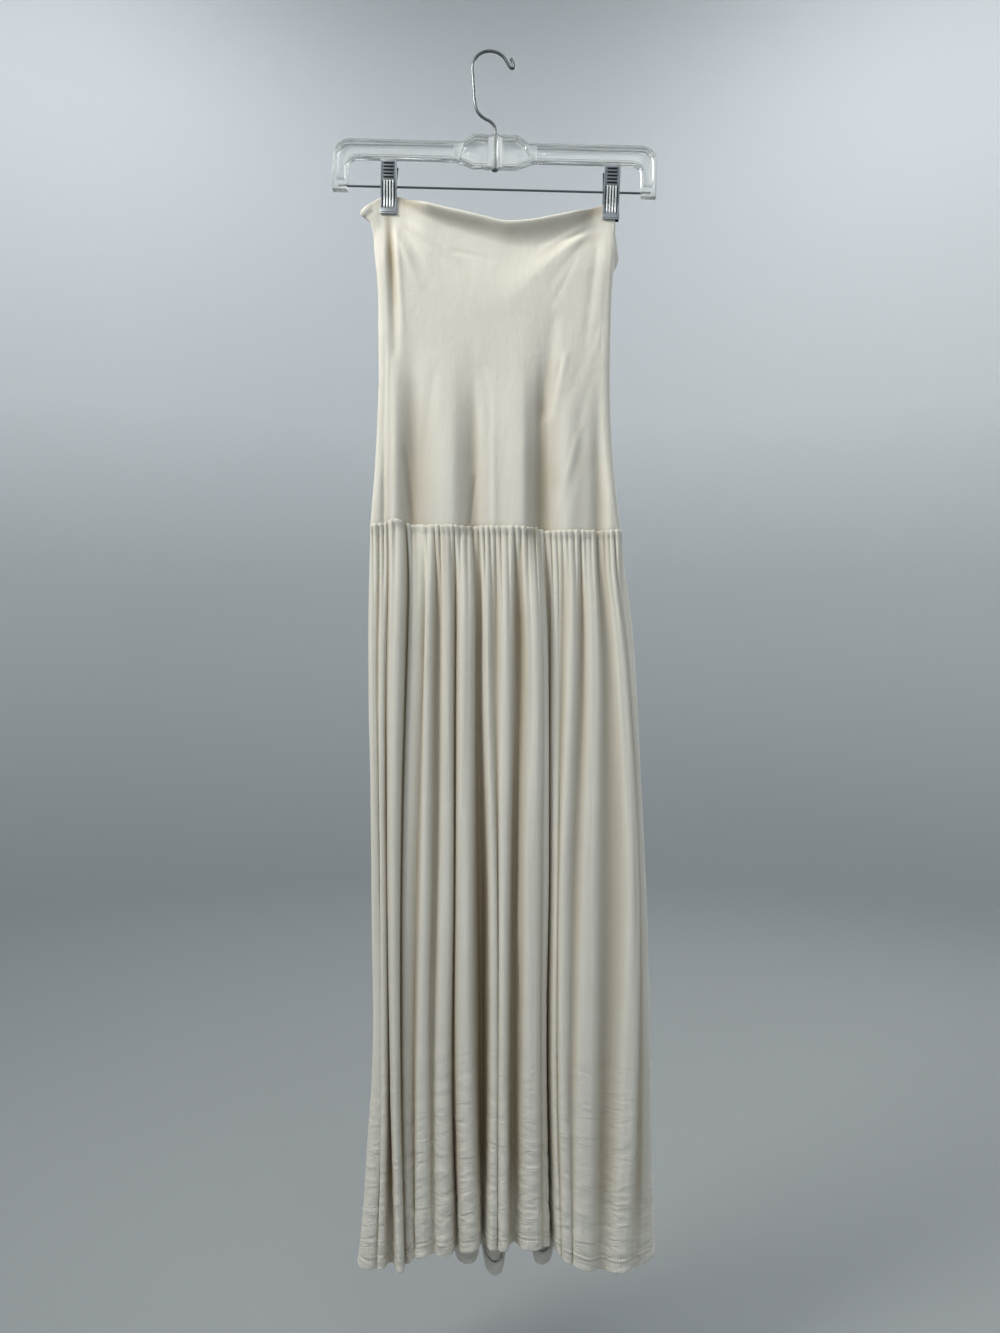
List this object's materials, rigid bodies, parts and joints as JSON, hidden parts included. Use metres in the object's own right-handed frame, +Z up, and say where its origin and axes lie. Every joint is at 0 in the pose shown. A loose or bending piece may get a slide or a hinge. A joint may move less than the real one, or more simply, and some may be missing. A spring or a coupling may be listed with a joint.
{
  "type": "strapless dress on a clip hanger",
  "caption": "Long strapless jersey dress with a smooth bodice, a gathered waist seam below the hips and a deep gathered skirt, hanging from a clear clip hanger.",
  "frame": {"origin": "underside of the hook's top, where the hanger bears on what holds it", "axes": "+X to the wearer's left as seen from the front (right in the picture), +Y to the back of the dress, +Z up"},
  "size_m": [0.3565, 0.0701, 1.3443],
  "materials": {
    "jersey": "cream viscose jersey, soft satin lustre",
    "clear_styrene": "clear glossy moulded styrene",
    "plated_steel": "plated steel wire and pressed clips"
  },
  "bodies": {
    "root": {"bodice_front": "jersey", "bodice_back": "jersey", "skirt_front": "jersey", "skirt_back": "jersey", "hanger_beam": "clear_styrene", "hanger_hook": "plated_steel", "hook_stop": "plated_steel", "hanger_rod": "plated_steel", "clip_left_front_jaw": "plated_steel", "clip_left_back_jaw": "plated_steel", "clip_left_spring": "plated_steel", "clip_right_front_jaw": "plated_steel", "clip_right_back_jaw": "plated_steel", "clip_right_spring": "plated_steel"}
  },
  "joints": []
}
